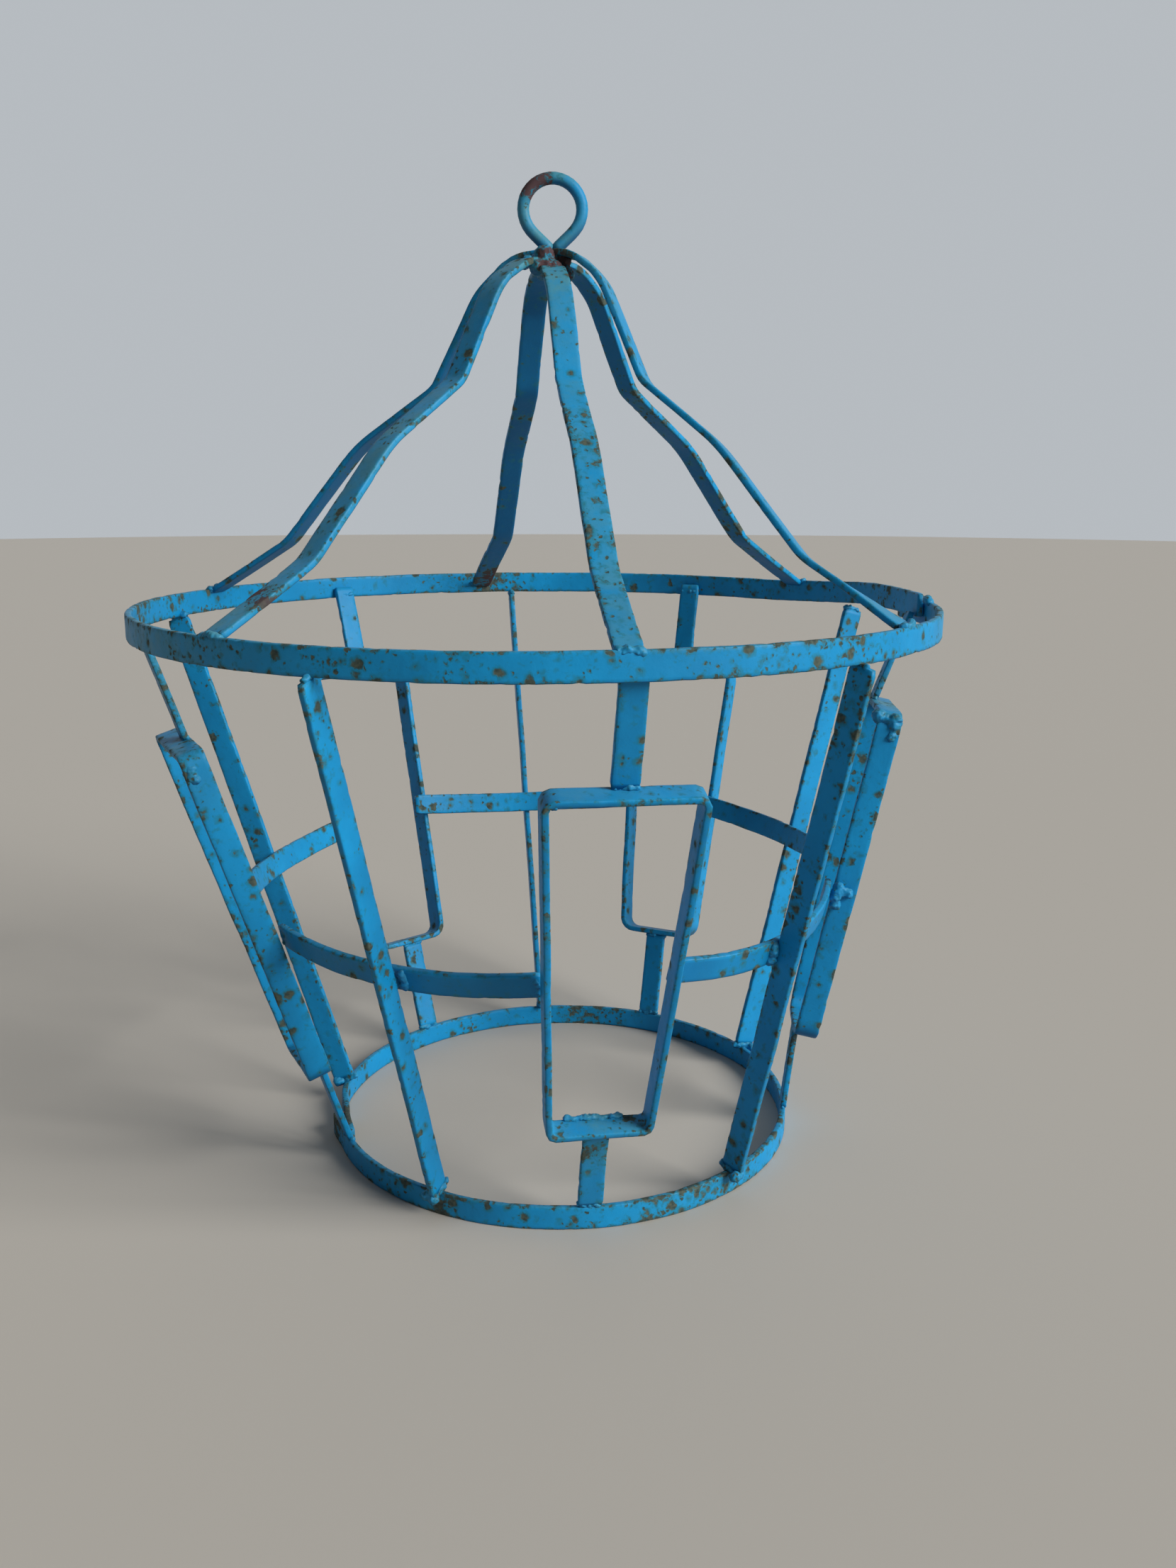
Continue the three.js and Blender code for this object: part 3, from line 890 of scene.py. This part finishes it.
def straight(start, end, across, node, seed):
    """A straight length of bar."""
    line = [start.lerp(end, k / STRAIGHT_STEPS) for k in range(STRAIGHT_STEPS + 1)]
    section = bar_section(BAR_WIDTH, BAR_THICKNESS)
    return sweep(node + "_bar", line, across, section, PAINT, (node,), seed=seed)


def upright(name, spec, seed):
    plane = upright_plane(spec)
    start, end = plane.at(0, UPRIGHT_FOOT_V), plane.at(0, plane.height)
    return straight(start, end, plane.normal, "upright_" + name, seed)


def window_frame(name, spec, seed):
    plane = window_plane(spec)
    drop = spec.get("drop", 0)
    longer = spec.get("longer", 0)
    taper = (WINDOW_TOP_WIDTH - WINDOW_FOOT_WIDTH) / (WINDOW_TOP_V - WINDOW_FOOT_V)
    half_top = (WINDOW_TOP_WIDTH - BAR_THICKNESS) / 2
    half_foot = (WINDOW_FOOT_WIDTH - taper * longer - BAR_THICKNESS) / 2
    bend = spec.get("corner", WINDOW_CORNER)
    foot_v = WINDOW_FOOT_V - drop - longer + BAR_THICKNESS / 2
    top_v = WINDOW_TOP_V - drop - BAR_THICKNESS / 2
    corners = [
        (-half_foot, foot_v, bend),
        (half_foot, foot_v, bend),
        (half_top, top_v, bend),
        (-half_top, top_v, bend),
    ]
    line = [plane.at(p.x, p.y, WINDOW_MIDDLE) for p in bend_line(corners, closed=True)]
    section = bar_section(BAR_WIDTH, BAR_THICKNESS)
    node = "window_" + name
    return sweep(node + "_bar", line, plane.normal, section, PAINT, (node,), closed=True, seed=seed)


def stub_ends(spec):
    """((upper start, upper end), (lower start, lower end)) of the short bars at a window."""
    plane = window_plane(spec)
    drop = spec.get("drop", 0)
    shift = spec.get("stub_shift", 0)
    radius = spec.get("stub_radius", STUB_TOP_RADIUS)
    upper_end = on_top_hoop(spec.get("stub_top", spec["top"]), radius, STUB_TOP_Z)
    lower_start = on_bottom_hoop(spec["foot"], BOTTOM_RADIUS - BAR_THICKNESS / 2, BOTTOM_BAND + STUB_FOOT_GAP)
    lower_end = plane.at(0, WINDOW_FOOT_V - drop - spec.get("longer", 0) - STUB_BELOW_GAP)
    upper_start = plane.at(shift, WINDOW_TOP_V - drop + STUB_ABOVE_GAP)
    return (upper_start, upper_end), (lower_start, lower_end)


def stubs(name, spec, seed):
    """The two short bars that hold a window between the hoops."""
    plane = window_plane(spec)
    upper, lower = stub_ends(spec)
    straight(*upper, plane.side, "upper_stub_" + name, seed)
    straight(*lower, plane.side, "lower_stub_" + name, seed + LOWER_STUB_SEED)


def landing(window, side, z, overlap):
    """Where a link bar's end lands behind one leg of a window, at a height."""
    plane = window_plane(WINDOWS[window])
    v = (z - plane.foot.z) / plane.up.z
    share = (v - WINDOW_FOOT_V) / (WINDOW_TOP_V - WINDOW_FOOT_V)
    half = (WINDOW_FOOT_WIDTH * (1 - share) + WINDOW_TOP_WIDTH * share) / 2
    return plane.at(side * (half - overlap), v, -LINK_DEPTH)


def link_line(name, spec):
    """The link's centre line and the direction of its width."""
    plane = upright_plane(UPRIGHTS[name])
    overlaps = spec.get("overlaps", (LINK_OVERLAP, LINK_OVERLAP))
    start = landing(spec["ends"][0], 1, spec["heights"][0], overlaps[0])
    chord = landing(spec["ends"][1], -1, spec["heights"][1], overlaps[1]) - start
    length = chord.length
    x = chord.normalized()
    z = (plane.up - x * plane.up.dot(x)).normalized()
    y = z.cross(x)
    set_in = spec.get("set_in", LINK_SET_IN)
    inside = plane.at(0, 0, -(BAR_WIDTH + BAR_THICKNESS) / 2 - set_in) - start
    inside -= plane.up * (inside.dot(z) / plane.up.dot(z))
    along, rise = inside.dot(x), inside.dot(y)
    centre = (along * along + rise * rise - length * along) / (2 * rise)
    radius = math.hypot(length / 2, centre)
    swing = math.asin(length / 2 / radius)
    line = []
    for i in range(2 * LINK_STEPS + 1):
        a = swing * (i / LINK_STEPS - 1)
        across = centre + math.copysign(radius, rise) * math.cos(a)
        line.append(start + x * (length / 2 + radius * math.sin(a)) + y * across)
    return line, z


def link_bar(name, spec, seed):
    line, wide = link_line(name, spec)
    section = bar_section(BAR_WIDTH, BAR_THICKNESS)
    node = "link_" + name
    return sweep(node + "_bar", line, wide, section, PAINT, (node,), seed=seed)


# Welds, each as (centre, direction, length, size)


def crown_welds():
    """Beads at each strap's foot and near its end at the hub."""
    welds = []
    for spec in STRAPS.values():
        hub, away, run, _ = strap_frame(spec)
        across = away.cross(UP)
        beyond, above = STRAP_FOOT_AT
        foot = hub + away * (run + beyond) + UP * (spec["foot_z"] + above)
        welds.append((foot + across * spec.get("veer", 0), across, *STRAP_FOOT_BEAD))
        beyond, above = STRAP_HUB_AT
        top = hub + away * beyond + UP * (HUB.z + above + spec["layer"])
        welds.append((top, away, *STRAP_HUB_BEAD))
    return welds


def hub_welds():
    """The lump where the eye's two ends and the six straps meet."""
    across = Vector((1, 0, 0))
    return [
        (HUB + Vector((2.4, 0, 5.6)), across, 8.0, 5.2),
        (HUB + Vector((1.0, -1.0, 2.0)), across, 13.0, 8.0),
        (HUB + Vector((-0.6, -7.0, 2.2)), UP, 9.0, 10.0),
        (HUB + Vector((0.0, -11.0, -0.4)), across, 8.0, 7.6),
        # This lump fills the dark place on the right of the hub, and its red-brown there is partly painted
        # shadow
        (HUB + Vector((6.6, -4.2, 0.2)), Vector((0.6, -0.2, -0.7)), 8.0, 7.0),
        (HUB + Vector((-4.4, -5.0, 1.6)), across, 6.0, 6.4),
    ]


def cage_welds():
    """Beads at the ends of the uprights and stubs, and all the other welds of the cage."""
    welds = []
    for spec in UPRIGHTS.values():
        plane = upright_plane(spec)
        u, v, out = UPRIGHT_TOP_AT
        welds.append((plane.at(u, plane.height + v, out), plane.normal, *UPRIGHT_TOP_BEAD))
        welds.append((plane.at(*UPRIGHT_FOOT_AT), plane.normal, *UPRIGHT_FOOT_BEAD))
        welds.append((plane.at(*UPRIGHT_CORNER_AT), plane.side, *UPRIGHT_CORNER_BEAD))
    for spec in WINDOWS.values():
        plane = window_plane(spec)
        upper, lower = stub_ends(spec)
        welds.append((upper[0] + plane.up * 0.3, plane.side, *STUB_WINDOW_BEAD))
        welds.append((upper[1] - plane.up * 3.6 - plane.normal * 0.4, plane.side, *STUB_TOP_BEAD))
        welds.append((lower[0] + plane.up * 0.4, plane.side, *STUB_FOOT_BEAD))
        welds.append((lower[1] - plane.up * 0.2, plane.side, *STUB_WINDOW_BEAD))
    return welds + link_welds() + window_welds()


def link_welds():
    """Beads where each link ends on a window and where it crosses behind its upright."""
    welds = []
    for name, spec in LINKS.items():
        line, wide = link_line(name, spec)
        plane = upright_plane(UPRIGHTS[name])
        crossing = min(line, key=lambda p: abs((p - plane.foot).dot(plane.side)))
        for end, window in zip((line[0], line[-1]), spec["ends"]):
            outer = window_plane(WINDOWS[window]).normal
            welds.append((end.lerp(line[LINK_STEPS], 0.03) + outer * 0.8, wide, *LINK_END_BEAD))
        length, size = LINK_MIDDLE_BEAD
        aside = plane.side * LINK_CROSSING_AT
        welds.append((crossing + aside + plane.normal, wide, length, size))
        welds.append((crossing - aside + plane.normal, wide, length, spec.get("lump", size)))
    return welds


def window_welds():
    """Extra lumps on the front, right and left windows."""
    front = window_plane(WINDOWS["front"])
    right = window_plane(WINDOWS["right"])
    left = window_plane(WINDOWS["left"])
    bar_top = WINDOW_FOOT_V - WINDOWS["front"]["drop"] + BAR_THICKNESS
    return [
        (front.at(-1, bar_top + 0.2, -1.4), front.side, 22.0, 3.2),
        (front.at(-24, WINDOW_TOP_V - 5.5, 3), front.normal, 9.0, 3.2),
        (right.at(-26.4, WINDOW_TOP_V - 6, 5.0), right.up, 9.0, 5.8),
        (right.at(-26.4, WINDOW_TOP_V - 3.0, 2.5), right.normal, 9.0, 6.0),
        (right.at(-25.2, 108, 0.0), right.up, 9.0, 5.6),
        (right.at(-25.2, 110, 2.0), right.normal, 6.0, 5.0),
        (left.at(26.6, WINDOW_TOP_V - 8.0, 5.0), left.up, 5.0, 6.4),
    ]


def lap_welds():
    """Lumps at the laps of the two hoops."""
    top_z = TOP_HOOP_Z + TOP_BAND
    inner, outer = TOP_LAP["inner"], BOTTOM_LAP["outer"]
    between = BAR_THICKNESS + WELD_GAP / 2
    return [
        (on_top_hoop(inner - 1.5, TOP_RADIUS - 2.2, top_z + 1.0), sideways(inner), 5.0, 4.4),
        (on_top_hoop(inner + 4.0, TOP_RADIUS - 2.4, top_z + 0.4), sideways(inner), 9.0, 3.2),
        (on_bottom_hoop(outer, BOTTOM_RADIUS - between, BOTTOM_BAND / 2), UP, 7.5, 3.0),
    ]


# Light, floor and camera

AROUND = (0.075, 0.085, 0.10, 1)
BACKDROP = (0.47, 0.50, 0.53, 1)
FLOOR_COLOUR = (0.56, 0.52, 0.46, 1)
FLOOR_RADIUS = 6.0
FLOOR_SIDES = 96
FLOOR_ROUGHNESS = 0.7
DAYLIGHT = {"azimuth": 60, "elevation": 28, "strength": 3.5, "spread": 32}
DAYLIGHT_COLOUR = (1.0, 0.985, 0.96)
CAMERA_PLACE = (0, -0.5737, 0.2883)
CAMERA_PITCH = 0.2279
CAMERA_YAW = 0.0371
CAMERA_ROLL = 0.0017
CAMERA_LENS = 30.80
SENSOR_HEIGHT = 36.0
NEAREST = 0.01


def daylight():
    """Soft light from one side."""
    data = bpy.data.lights.new("window_light", "SUN")
    data.energy = DAYLIGHT["strength"]
    data.angle = math.radians(DAYLIGHT["spread"])
    data.color = DAYLIGHT_COLOUR
    lamp = bpy.data.objects.new("window_light", data)
    rise = math.radians(DAYLIGHT["elevation"])
    source = outward(DAYLIGHT["azimuth"]) * math.cos(rise) + UP * math.sin(rise)
    lamp.rotation_euler = source.to_track_quat("Z", "Y").to_euler()
    bpy.context.scene.collection.objects.link(lamp)


def pale_floor():
    mesh = bpy.data.meshes.new("floor")
    bm = bmesh.new()
    bmesh.ops.create_circle(bm, cap_ends=True, radius=FLOOR_RADIUS, segments=FLOOR_SIDES)
    bm.to_mesh(mesh)
    bm.free()
    floor = bpy.data.objects.new("floor", mesh)
    bpy.context.scene.collection.objects.link(floor)
    material = bpy.data.materials.new("pale_floor")
    n = Nodes(material)
    shader = n.add("ShaderNodeBsdfPrincipled")
    shader.inputs["Base Color"].default_value = FLOOR_COLOUR
    shader.inputs["Roughness"].default_value = FLOOR_ROUGHNESS
    n.put(n.add("ShaderNodeOutputMaterial").inputs["Surface"], shader.outputs[0])
    mesh.materials.append(material)


def backdrop():
    """A plain surround, pale behind the object and dim in front of it."""
    world = bpy.data.worlds.new("studio")
    bpy.context.scene.world = world
    n = Nodes(world)
    look = n.add("ShaderNodeSeparateXYZ")
    n.put(look.inputs[0], n.add("ShaderNodeTexCoord").outputs["Generated"])
    behind = n.ramp(look.outputs["Y"], 0.1, 0.8)
    sky = n.add("ShaderNodeBackground")
    n.put(sky.inputs["Color"], n.mix(behind, AROUND, BACKDROP))
    n.put(n.add("ShaderNodeOutputWorld").inputs["Surface"], sky.outputs[0])


def studio():
    pale_floor()
    backdrop()
    daylight()
    bpy.context.scene.view_settings.view_transform = "Standard"


def camera():
    data = bpy.data.cameras.new("camera")
    data.sensor_fit = "VERTICAL"
    data.sensor_height = SENSOR_HEIGHT
    data.lens = CAMERA_LENS
    data.clip_start = NEAREST
    cam = bpy.data.objects.new("camera", data)
    level = math.cos(CAMERA_PITCH)
    ahead = Vector(
        (math.sin(CAMERA_YAW) * level, math.cos(CAMERA_YAW) * level, -math.sin(CAMERA_PITCH))
    )
    right = ahead.cross(UP).normalized()
    above = right.cross(ahead)
    right, above = (
        right * math.cos(CAMERA_ROLL) + above * math.sin(CAMERA_ROLL),
        above * math.cos(CAMERA_ROLL) - right * math.sin(CAMERA_ROLL),
    )
    turn = Matrix((right, above, -ahead)).transposed()
    cam.matrix_world = Matrix.Translation(CAMERA_PLACE) @ turn.to_4x4()
    bpy.context.scene.collection.objects.link(cam)
    bpy.context.scene.camera = cam


hoop("top_hoop", TOP_RADIUS, TOP_LAP, TOP_BAND, Vector(), TOP_HOOP_Z)
hoop("bottom_hoop", BOTTOM_RADIUS, BOTTOM_LAP, BOTTOM_BAND, BOTTOM_CENTRE, 0)
for number, (key, item) in enumerate(STRAPS.items()):
    crown_strap(key, item, STRAP_SEED + number)
hanging_eye()
for number, (key, item) in enumerate(UPRIGHTS.items()):
    upright(key, item, UPRIGHT_SEED + number)
for number, (key, item) in enumerate(WINDOWS.items()):
    window_frame(key, item, WINDOW_SEED + number)
    stubs(key, item, STUB_SEED + number)
for number, (key, item) in enumerate(LINKS.items()):
    link_bar(key, item, LINK_SEED + number)
weld_lumps("welds_crown", crown_welds(), PAINT_WELD)
weld_lumps("weld_hub", hub_welds(), PAINT_EYE)
weld_lumps("welds_cage", cage_welds(), PAINT_WELD)
weld_lumps("welds_laps", lap_welds(), PAINT_WELD)
studio()
camera()
